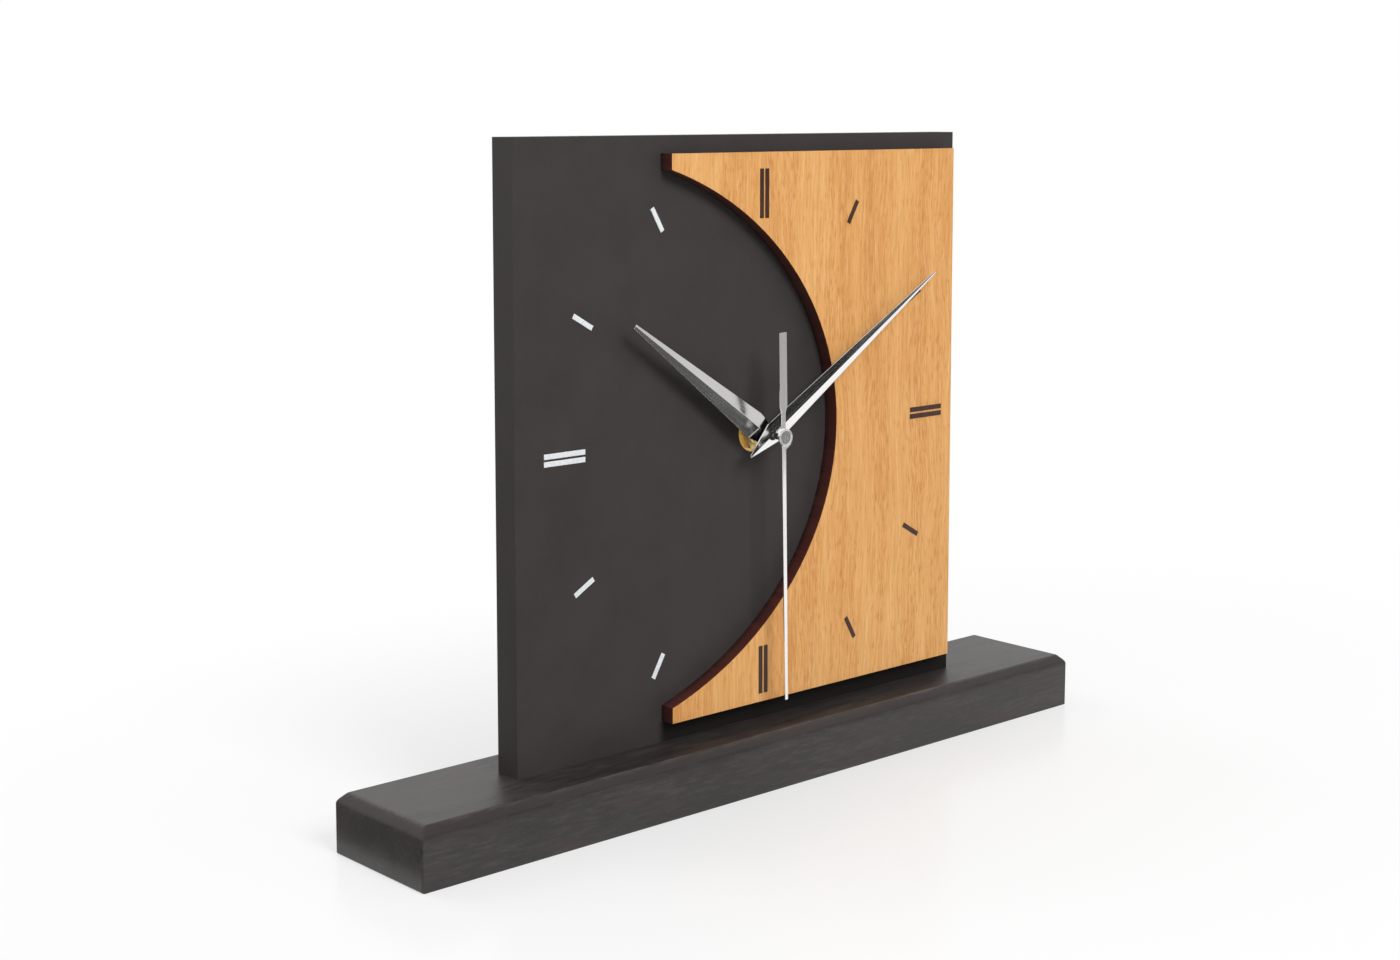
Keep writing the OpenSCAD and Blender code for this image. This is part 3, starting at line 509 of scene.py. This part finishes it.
def cap_metal():
    """Turned cap with a bright rim and a mottled face, and a tube coloured near-black as a painted
    reflection of the dark board.
    """
    face_dark, face_pale = (0.34, 0.33, 0.32), (0.66, 0.65, 0.63)
    rim_bright, tube_painted_black = (0.95, 0.94, 0.93), (0.03, 0.03, 0.03)
    tube_top = PANEL_FRONT - (SECOND_LEVEL + 0.3) * MM
    look = Look("cap_turned", Metallic=1.0)
    radius, y = look.round_dial()
    spots = look.noise(look.mapped(), 1500, 3.0, 0.65)
    face = look.ramp(spots, (0.35, face_dark), (0.65, face_pale))
    rim = look.mix(look.range(radius, 2.1 * MM, 2.3 * MM, 0.0, 1.0), face, rim_bright)
    # Painted reflection: the tube is coloured near-black in place of the dark board that it reflects.
    tube = look.range(y, tube_top, tube_top + 0.2 * MM, 0.0, 1.0)
    look.color(look.mix(tube, rim, tube_painted_black))
    look.roughness(look.range(spots, 0.3, 0.7, 0.14, 0.24))
    look.bump(spots, 0.004, 0.5)
    return look.material


def plain_metal(name, color, rough):
    """Rolled or plated metal with faint stains and a fine grain."""
    look = Look(name, Metallic=1.0)
    grain = look.noise(look.mapped(), 2600, 3.0, 0.65)
    stains = look.noise(look.mapped(), 300, 4.0, 0.6)
    dark = tuple(c * 0.72 for c in color)
    look.color(look.mix(look.range(stains, 0.4, 0.8, 0.0, 0.7), color, dark))
    look.roughness(look.range(stains, 0.3, 0.7, rough, rough + 0.12))
    look.bump(grain, 0.008, 0.5)
    return look.material


def moulded(name, color, rough, grain_size=1500.0, depth=0.02):
    """Moulded plastic with a fine spark-eroded grain and slightly rubbed edges."""
    look = Look(name, IOR=1.5)
    grain = look.noise(look.mapped(), grain_size, 4.0, 0.7)
    clouds = look.noise(look.mapped(), 70, 3.0, 0.6)
    pale = tuple(min(1.0, c * 1.5 + 0.01) for c in color)
    base = look.mix(look.range(clouds, 0.3, 0.7, 0.0, 0.35), color, pale)
    look.color(look.mix(look.times(look.worn(0.08), 0.4), base, pale))
    look.roughness(look.range(grain, 0.3, 0.7, rough - 0.06, rough + 0.08))
    look.bump(grain, depth, 0.5)
    return look.material


def rubber():
    """Matt black rubber with a coarse grain."""
    look = Look("black_rubber_matt", IOR=1.5)
    grain = look.noise(look.mapped(), 1800, 4.0, 0.7)
    look.color(look.ramp(grain, (0.3, (0.012, 0.012, 0.012)), (0.7, (0.022, 0.022, 0.022))))
    look.roughness(look.range(grain, 0.3, 0.7, 0.7, 0.85))
    look.bump(grain, 0.04, 0.5)
    return look.material


def copper_wire():
    """Enamelled wire wound in close turns along the coil."""
    wire_pitch = 0.12 * MM
    look = Look("copper_wire_turns", Metallic=1.0)
    x = look.parts()[0]
    turns = look.math("SINE", look.times(x, 2 * math.pi / wire_pitch))
    uneven = look.noise(look.mapped(), 900, 3.0, 0.6)
    look.color(look.ramp(uneven, (0.3, (0.55, 0.2, 0.08)), (0.7, (0.75, 0.32, 0.14))))
    look.roughness(look.range(uneven, 0.3, 0.7, 0.28, 0.42))
    look.bump(turns, 0.04, 0.6)
    return look.material


def circuit():
    """Green board with paler tracks under the lacquer."""
    look = Look("board_lacquer", IOR=1.5)
    cells = look.cells(look.mapped(), 700, 0.9)
    weave = look.noise(look.mapped(), 2200, 2.0, 0.6)
    look.color(look.ramp(cells, (0.35, (0.012, 0.085, 0.035)), (0.5, (0.03, 0.16, 0.06))))
    look.roughness(look.range(weave, 0.3, 0.7, 0.25, 0.4))
    look.bump(cells, 0.03, 0.5)
    return look.material


def cell_sleeve():
    """Plain pale film round the cell, with a green band near the positive end."""
    band_start, band_end, band_blur = 0.0148, 0.0198, 0.0002
    look = Look("cell_sleeve_film", IOR=1.5)
    x = look.parts()[0]
    start = look.range(x, band_start, band_start + band_blur, 0.0, 1.0)
    end = look.range(x, band_end - band_blur, band_end, 1.0, 0.0)
    wrinkles = look.noise(look.mapped((0.4, 1, 1)), 260, 3.0, 0.6)
    pale = look.ramp(wrinkles, (0.3, (0.5, 0.51, 0.52)), (0.7, (0.6, 0.61, 0.62)))
    green = look.ramp(wrinkles, (0.3, (0.03, 0.16, 0.07)), (0.7, (0.045, 0.21, 0.095)))
    look.color(look.mix(look.times(start, end), pale, green))
    look.roughness(look.range(wrinkles, 0.3, 0.7, 0.2, 0.32))
    look.bump(wrinkles, 0.06, 0.4)
    return look.material


def all_materials():
    """The look of each material slot, and two looks of single pieces."""
    return {
        "stained_plinth": stained_plinth(),
        "stained_board": stained_board(),
        "hardboard": hardboard(),
        "oak": oak(),
        "white_mark": white_mark(),
        "brown_mark": brown_mark(),
        "brass": turned_metal("brass_turned", (1.0, 0.77, 0.36), 0.34, 0.012),
        "polished_steel": brushed("hand_metal_hour", (0.93, 0.92, 0.91), 0.14, 304.9, 0.0004),
        "minute_metal": brushed("hand_metal_minute", (0.94, 0.93, 0.925), 0.14, 57.8),
        "needle_metal": brushed("needle_metal_fine", (0.97, 0.95, 0.93), 0.09, 178.9, 0.0006, 0.85),
        "cap": cap_metal(),
        "steel": plain_metal("plated_steel", (0.56, 0.55, 0.53), 0.24),
        "black_rubber": rubber(),
        "black_plastic": moulded("black_plastic_grain", (0.014, 0.014, 0.015), 0.42),
        "wheel_plastic": moulded("wheel_plastic_smooth", (0.75, 0.73, 0.66), 0.32, 900.0, 0.01),
        "white_plastic": moulded("white_plastic_smooth", (0.78, 0.77, 0.74), 0.34, 900.0, 0.01),
        "magnet": plain_metal("magnet_grey", (0.12, 0.12, 0.13), 0.42),
        "soft_iron": plain_metal("soft_iron_sheet", (0.42, 0.42, 0.43), 0.3),
        "copper_wire": copper_wire(),
        "board_green": circuit(),
        "contact_metal": plain_metal("contact_nickel", (0.66, 0.63, 0.57), 0.22),
        "cell_sleeve": cell_sleeve(),
    }


# Pieces


def soft_plinth(looks):
    """Plinth with rounded outer edges and a crisp groove and screw holes."""
    near_front, near_end = 0.018, 0.14
    width, segments = 0.75, 4
    piece = copied("plinth")
    weights = piece.data.attributes.new("bevel_weight_edge", "FLOAT", "EDGE")
    for edge in piece.data.edges:
        ends = [piece.data.vertices[i].co for i in edge.vertices]
        off_groove = all(abs(v.y) > GROOVE_SIDE for v in ends)
        outer = off_groove and all(abs(v.y) > near_front or abs(v.x) > near_end for v in ends)
        weights.data[edge.index].value = 1.0 if outer else 0.0
        edge.use_edge_sharp = not outer
    bevel = soften(piece, width, segments)
    bevel.limit_method = "WEIGHT"
    bevel.use_clamp_overlap = False
    bevel.harden_normals = False
    even = piece.modifiers.new("even_faces", "WEIGHTED_NORMAL")
    even.keep_sharp = True
    even.weight = 100
    dress(piece, "clock_frame", looks["stained_plinth"], "plinth")


def curved_edge(steps=160):
    """The overlay's outline in millimetres from the hands' centre, as in the part's source."""
    half_w, half_h, middle, centre = 117.8, 94.0, 1.3, -82.9
    right, top, left, low = 94.3, 94.3, -40.7, -91.7
    end = math.acos((left - centre) / half_w)
    arc = []
    for i in range(steps + 1):
        turn = end * (1 - 2 * i / steps)
        arc.append((centre + half_w * math.cos(turn), middle + half_h * math.sin(turn)))
    return [(right, low), (right, top), (left, top), *arc, (left, low)]


def sheet(name, outline, back, front):
    """A flat plate with an outline, between two levels in millimetres."""
    count = len(outline)
    verts = [dial_point(x, up, back) for x, up in outline]
    verts += [dial_point(x, up, front) for x, up in outline]
    faces = [tuple(range(count)), tuple(range(2 * count - 1, count - 1, -1))]
    for i in range(count):
        j = (i + 1) % count
        faces.append((i, i + count, j + count, j))
    piece = new_piece(name, verts, faces)
    outward(piece)
    smooth(piece)
    return piece


def overlay(looks):
    """Hardboard core and oak veneer, with their edges barely broken."""
    outline = curved_edge()
    core = sheet("overlay_core_piece", outline, 0, CORE_FRONT)
    soften(core, 0.12, 2, 50)
    dress(core, "clock_frame", looks["hardboard"], "overlay_core")
    veneer = sheet("oak_veneer_piece", outline, CORE_FRONT, VENEER_FRONT)
    soften(veneer, 0.1, 2, 50)
    dress(veneer, "clock_frame", looks["oak"], "oak_veneer")


def hex_nut(looks):
    """Nut with its corners turned down to a cone on the front and a countersunk hole."""
    flats, sides, face_share, cone, back_share = 10.0, 6, 0.94, 24, 0.6
    sink, lift = 0.35, 0.001
    inner = flats / 2 * face_share
    side_turn = 2 * math.pi / sides
    steps = 144
    rings = []
    for i in range(steps):
        turn = 2 * math.pi * i / steps
        wedge = (turn + side_turn / 2) % side_turn - side_turn / 2
        rim = flats / 2 / math.cos(wedge)
        fall = (rim - inner) * math.tan(math.radians(cone))
        profile = [
            (BUSH_R, WASHER_TOP),
            (BUSH_R, NUT_TOP - sink),
            (BUSH_R + sink, NUT_TOP),
            (inner, NUT_TOP),
            ((inner + rim) / 2, NUT_TOP - fall / 2),
            (rim, NUT_TOP - fall),
            (rim, WASHER_TOP + fall * back_share),
            ((inner + rim) / 2, WASHER_TOP + lift),
        ]
        rings.append(dial_ring(profile, turn + side_turn / 2))
    piece = closed_rings("hex_nut_piece", rings, 20)
    dress(piece, "clock_frame", looks["brass"], "hex_nut")


def washer(looks):
    """Washer with a rounded rim and a dished ring in its face."""
    outer, edge, land = 6.5, 0.12, 0.28
    dish = [(5.5, 0.14), (5.2, 0.2), (5.1, WASHER_TOP)]
    profile = [(BUSH_R, 0.0), (outer - edge, 0.0)]
    profile += rounded(outer - edge, edge, edge, -90)
    profile += rounded(outer - edge, WASHER_TOP - edge, edge, 0)
    profile += [(outer - land, WASHER_TOP), *dish, (BUSH_R, WASHER_TOP)]
    piece = lathe("brass_washer_piece", profile, 128)
    dress(piece, "clock_frame", looks["brass"], "brass_washer")


def threaded_bush(looks):
    """Bush with a real thread outside and a plain bore."""
    root, pitch, bore, chamfer, bore_chamfer = 3.62, 0.75, 2.6, 0.35, 0.3
    wall_in, flange_r, flange_t = -12.2, 5.4, 0.9
    steps, rows = 96, 132
    low = wall_in + flange_t
    levels = [low + (BUSH_TOP - low) * j / rows for j in range(rows + 1)]
    rings = []
    for i in range(steps):
        share = i / steps
        profile = [(bore, wall_in), (flange_r, wall_in), (flange_r, low)]
        for level in levels:
            phase = (level / pitch - share) % 1.0
            cut = (BUSH_R - root) * abs(2 * phase - 1)
            end = max(0.0, chamfer - (BUSH_TOP - level))
            profile.append((BUSH_R - max(cut, end), level))
        profile += [(bore + bore_chamfer, BUSH_TOP), (bore, BUSH_TOP - bore_chamfer)]
        rings.append(dial_ring(profile, 2 * math.pi * share))
    piece = closed_rings("shaft_bush_piece", rings, 50)
    dress(piece, "clock_frame", looks["brass"], "shaft_bush")


def second_cap(looks):
    """Cap with a raised, rounded rim round a flat face, in one piece with its tube."""
    cap_r, cap_t, tube_r, tube_len, bore_r = 3.0, 1.1, 1.1, 4.2, 0.5
    rim, sunk, land, corner, lip = 0.27, 0.27, 0.1, 0.15, 0.1
    needle_t, axis_r, floor_t = 0.4, 0.02, 0.01
    back = SECOND_LEVEL + needle_t
    front = back + cap_t
    tube_end = back - tube_len
    profile = [(bore_r, tube_end), (tube_r - lip, tube_end), (tube_r, tube_end + lip), (tube_r, back)]
    profile += [(cap_r - corner, back), (cap_r, back + corner)]
    profile += rounded(cap_r - rim, front - rim, rim, 0, 5)
    profile += rounded(cap_r - rim - land, front - rim, rim, 90, 5)[:-1]
    profile += [(cap_r - 2 * rim - land, front - sunk), (axis_r, front - sunk)]
    profile += [(axis_r, back + floor_t), (bore_r, back)]
    piece = lathe("second_hand_cap_piece", profile)
    dress(piece, "second", looks["cap"], "second_hand_cap")


def cell(looks):
    """Cell: can with a stepped positive end and a sleeve that curls over both shoulders."""
    lo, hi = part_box("battery_can")
    axis_y = (lo.y + hi.y) / 2
    axis_z = (lo.z + hi.z) / 2
    radius = (hi.z - lo.z) / 2
    nub_r, nub, nub_edge = 2.75 * MM, 1.0 * MM, 0.25 * MM
    sunk, corner, shoulder = 0.35 * MM, 0.5 * MM, 0.8 * MM
    well_floor_r, well_top_r = radius * 0.62, radius * 0.7
    ledge_r, ledge_foot_r = radius * 0.55, radius * 0.52
    start, end = lo.x, hi.x - nub
    can = [(0.0, start + sunk), (well_floor_r, start + sunk), (well_top_r, start)]
    can += [(radius - corner, start), (radius, start + corner), (radius, end - shoulder)]
    can += [(radius - shoulder, end), (ledge_r, end), (ledge_foot_r, end - nub_edge)]
    can += [(nub_r + 0.2 * MM, end - nub_edge), (nub_r, end), (nub_r, hi.x - nub_edge)]
    can += [(nub_r - nub_edge, hi.x), (0.0, hi.x)]
    piece = turned_along_x("battery_can_piece", can, axis_y, axis_z)
    dress(piece, "battery", looks["steel"], "battery_can")
    lo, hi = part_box("battery_sleeve")
    outer = (hi.z - lo.z) / 2
    skin, curl, curl_end, front_curl = 0.15 * MM, 0.5 * MM, 0.9 * MM, 0.7 * MM
    wrap = [(outer - curl_end, lo.x + skin), (outer - curl_end, lo.x), (outer - curl, lo.x)]
    wrap += [(outer - 0.12 * MM, lo.x + skin), (outer, lo.x + curl), (outer, hi.x - front_curl)]
    wrap += [(outer - 0.2 * MM, hi.x - 0.2 * MM), (outer - 0.6 * MM, hi.x)]
    wrap += [(outer - skin, hi.x - front_curl), (outer - skin, lo.x + 0.6 * MM)]
    piece = turned_along_x("battery_sleeve_piece", wrap, axis_y, axis_z)
    dress(piece, "battery", looks["cell_sleeve"], "battery_sleeve")


# Rounded pieces: node, body, slot, look, rounding in millimetres, steps of the rounding and the least
# turn in degrees of an edge that gets it.
ROUNDED_NODES = [
    ("dial_panel", "clock_frame", "stained_board", "stained_board", 0.45, 3, 30),
    ("light_markers", "clock_frame", "white_mark", "white_mark", 0.06, 2, 30),
    ("dark_markers", "clock_frame", "brown_mark", "brown_mark", 0.06, 2, 30),
    ("seal_washer", "clock_frame", "black_rubber", "black_rubber", 0.15, 2, 30),
    ("movement_case", "clock_frame", "black_plastic", "black_plastic", 0.2, 2, 30),
    ("rear_cover", "clock_frame", "black_plastic", "black_plastic", 0.2, 2, 30),
    ("set_knob", "setter", "black_plastic", "black_plastic", 0.25, 2, 30),
    ("hour_hand", "hour", "polished_steel", "polished_steel", 0.1, 2, 15),
    ("minute_hand", "minute", "polished_steel", "minute_metal", 0.17, 2, 15),
    ("second_hand", "second", "needle_metal", "needle_metal", 0.08, 2, 30),
]


def rounded_nodes(looks):
    for node, body, slot, look, width, segments, crease in ROUNDED_NODES:
        piece = copied(node, crease)
        soften(piece, width, segments, crease)
        dress(piece, body, looks[look], node)


def carried_over(looks):
    """Gives every CAD node the look of its slot."""
    for part in frame["record"]["subparts"]:
        for held in frame["nodes"][part["node"]].material_slots:
            held.material = looks[part["material_slot"]]


# Stage, light and camera

FLOOR_HALF = 4
FLOOR_SEEN = 0.9
FLOOR_BOUNCE = 0.5
FILL_LOW = 0.12
FILL_HIGH = 0.82
CARD_RADIUS = 0.62
CARD_TOP = 0.36
CARD_LEVEL = 0.0002
LIGHT_TARGET = (0, 0, 0.1)
CAMERA_PLACE = (-0.4882, -0.5204, 0.2276)
CAMERA_DOWN = 6.072
CAMERA_TURN = -42.026
CAMERA_LENS = 54.695
CAMERA_SHIFT = -0.105

# Upright cards: name, first and last azimuth in degrees, lower edge and grey.
CARDS = [
    ("front_card", -126, -70, 0, 0.4),
    ("dark_card", -70, -50, 0, 0.012),
    ("grey_card", -50, -42, 0.01, 0.42),
    ("pale_card", -42, -14, 0.06, 0.66),
]

# Lying cards: corners.
APRON = [(0.03, -0.085), (0.6, -0.66), (0.6, -2), (0.0, -2), (-0.05, -0.085)]
END_CARD = [(-0.152, -0.06), (-0.152, 0.5), (-1.2, 0.9), (-1.2, -0.06)]

# Lamps: name, place, size in metres and power in watts.
LAMPS = [
    ("key", (-0.27, -1.8, 1.37), 0.85, 37),
    ("soft_left", (-1.4, -0.7, 0.8), 1.0, 1),
    ("soft_back", (-0.8, 1.7, 1.2), 1.2, 12),
]


def glow(look, color):
    """Plain emission in one colour."""
    node = look.tree.nodes.new("ShaderNodeEmission")
    look.put(node, "Color", color)
    look.put(node, "Strength", 1.0)
    return node.outputs["Emission"]


def blended(tree, factor, first, second):
    node = tree.nodes.new("ShaderNodeMixShader")
    tree.links.new(factor, node.inputs["Fac"])
    tree.links.new(first, node.inputs[1])
    tree.links.new(second, node.inputs[2])
    return node.outputs["Shader"]


def greater(tree, first, second):
    node = tree.nodes.new("ShaderNodeMath")
    node.operation = "MAXIMUM"
    tree.links.new(first, node.inputs[0])
    tree.links.new(second, node.inputs[1])
    return node.outputs["Value"]


def not_diffuse(tree):
    """1 for the rays of the camera, of gloss and of glass, and 0 for the rest."""
    path = tree.nodes.new("ShaderNodeLightPath").outputs
    either = greater(tree, path["Is Camera Ray"], path["Is Glossy Ray"])
    return greater(tree, either, path["Is Transmission Ray"])


def floor():
    """Pale floor that keeps the contact shadow and fades to the white background."""
    half = FLOOR_HALF
    oval, fade_end, fade_start = (0.6, 1, 1), 0.3, 0.5
    corners = [(-half, -half, 0), (half, -half, 0), (half, half, 0), (-half, half, 0)]
    piece = new_piece("floor", corners, [(0, 1, 2, 3)])
    look = Look("floor_white", Roughness=0.22, Specular_IOR_Level=0.35)
    look.color(look.range(not_diffuse(look.tree), 0.0, 1.0, FLOOR_BOUNCE, FLOOR_SEEN))
    length = look.tree.nodes.new("ShaderNodeVectorMath")
    length.operation = "LENGTH"
    look.put(length, 0, look.mapped(oval))
    fade = look.range(length.outputs["Value"], 0.0, fade_end, fade_start, 1.0, "SMOOTHSTEP")
    seen = look.times(fade, not_diffuse(look.tree))
    shader = blended(look.tree, seen, look.shader.outputs["BSDF"], glow(look, (1, 1, 1, 1)))
    look.tree.links.new(shader, look.tree.nodes["Material Output"].inputs["Surface"])
    piece.data.materials.append(look.material)


def white_room():
    """White to the camera and in reflections, and a soft fill from above for everything else."""
    world = bpy.data.worlds.new("studio")
    bpy.context.scene.world = world
    world.use_nodes = True
    tree = world.node_tree
    tree.nodes.clear()
    way = tree.nodes.new("ShaderNodeTexCoord")
    parts = tree.nodes.new("ShaderNodeSeparateXYZ")
    tree.links.new(way.outputs["Generated"], parts.inputs["Vector"])
    rise = tree.nodes.new("ShaderNodeMapRange")
    rise.inputs["To Min"].default_value = FILL_LOW
    rise.inputs["To Max"].default_value = FILL_HIGH
    tree.links.new(parts.outputs["Z"], rise.inputs["Value"])
    fill = tree.nodes.new("ShaderNodeBackground")
    tree.links.new(rise.outputs["Result"], fill.inputs["Strength"])
    white = tree.nodes.new("ShaderNodeBackground")
    white.inputs["Color"].default_value = (1, 1, 1, 1)
    white.inputs["Strength"].default_value = 1.0
    shader = blended(
        tree, not_diffuse(tree), fill.outputs["Background"], white.outputs["Background"]
    )
    out = tree.nodes.new("ShaderNodeOutputWorld")
    tree.links.new(shader, out.inputs["Surface"])


def lamp(name, place, size, power):
    """Square lamp that lights but doesn't show in gloss."""
    data = bpy.data.lights.new(name, "AREA")
    data.size = size
    data.energy = power
    held = bpy.data.objects.new(name, data)
    bpy.context.scene.collection.objects.link(held)
    held.location = place
    aim = Vector(LIGHT_TARGET) - Vector(place)
    held.rotation_euler = aim.to_track_quat("-Z", "Y").to_euler()
    held.visible_glossy = False


def gloss_only(held, look, grey):
    """Lets a studio card glow grey in gloss alone, but not in the gloss of the floor right under it."""
    near, far = 0.012, 0.016
    path = look.tree.nodes.new("ShaderNodeLightPath")
    close = look.range(path.outputs["Ray Length"], near, far, 1.0, 0.0)
    clear = look.tree.nodes.new("ShaderNodeBsdfTransparent")
    shader = blended(look.tree, close, glow(look, grey), clear.outputs["BSDF"])
    look.tree.links.new(shader, look.tree.nodes["Material Output"].inputs["Surface"])
    held.data.materials.append(look.material)
    held.visible_camera = False
    held.visible_diffuse = False
    held.visible_shadow = False


def upright_card(name, start, end, low, grey):
    """Curved card between two azimuths in degrees."""
    verts = []
    faces = []
    for turn in range(start, end + 1, 2):
        angle = math.radians(turn)
        for height in (low, CARD_TOP):
            verts.append((CARD_RADIUS * math.cos(angle), CARD_RADIUS * math.sin(angle), height))
    for i in range(len(verts) // 2 - 1):
        faces.append((2 * i, 2 * i + 1, 2 * i + 3, 2 * i + 2))
    gloss_only(new_piece(name, verts, faces), Look(name + "_grey"), (grey, grey, grey, 1))


def lying_card(name, corners, look, grey):
    verts = [(x, y, CARD_LEVEL) for x, y in corners]
    gloss_only(new_piece(name, verts, [tuple(range(len(verts)))]), look, grey)


def cards():
    """The darker sides of the studio, which the hands and the board reflect."""
    for name, start, end, low, grey in CARDS:
        upright_card(name, start, end, low, grey)
    near, far, near_grey, far_grey, end_grey = -0.23, -0.28, 0.01, 0.1, (0.2, 0.2, 0.2, 1)
    look = Look("dark_apron_grey")
    away = look.range(look.parts()[1], near, far, 0.0, 1.0)
    lying_card("dark_apron", APRON, look, look.ramp(away, (0.0, near_grey), (1.0, far_grey)))
    lying_card("end_card", END_CARD, Look("end_card_grey"), end_grey)


def camera():
    """The photograph's own view."""
    data = bpy.data.cameras.new("camera")
    data.sensor_width = 36
    data.lens = CAMERA_LENS
    data.shift_y = CAMERA_SHIFT
    data.clip_start = 0.01
    held = bpy.data.objects.new("camera", data)
    bpy.context.scene.collection.objects.link(held)
    held.location = CAMERA_PLACE
    held.rotation_euler = (math.radians(90 - CAMERA_DOWN), 0, math.radians(CAMERA_TURN))
    bpy.context.scene.camera = held


def studio():
    floor()
    white_room()
    cards()
    for name, place, size, power in LAMPS:
        lamp(name, place, size, power)
    camera()
    bpy.context.scene.view_settings.view_transform = "Standard"


looks = all_materials()
carried_over(looks)
overlay(looks)
washer(looks)
hex_nut(looks)
threaded_bush(looks)
second_cap(looks)
cell(looks)
soft_plinth(looks)
rounded_nodes(looks)
studio()
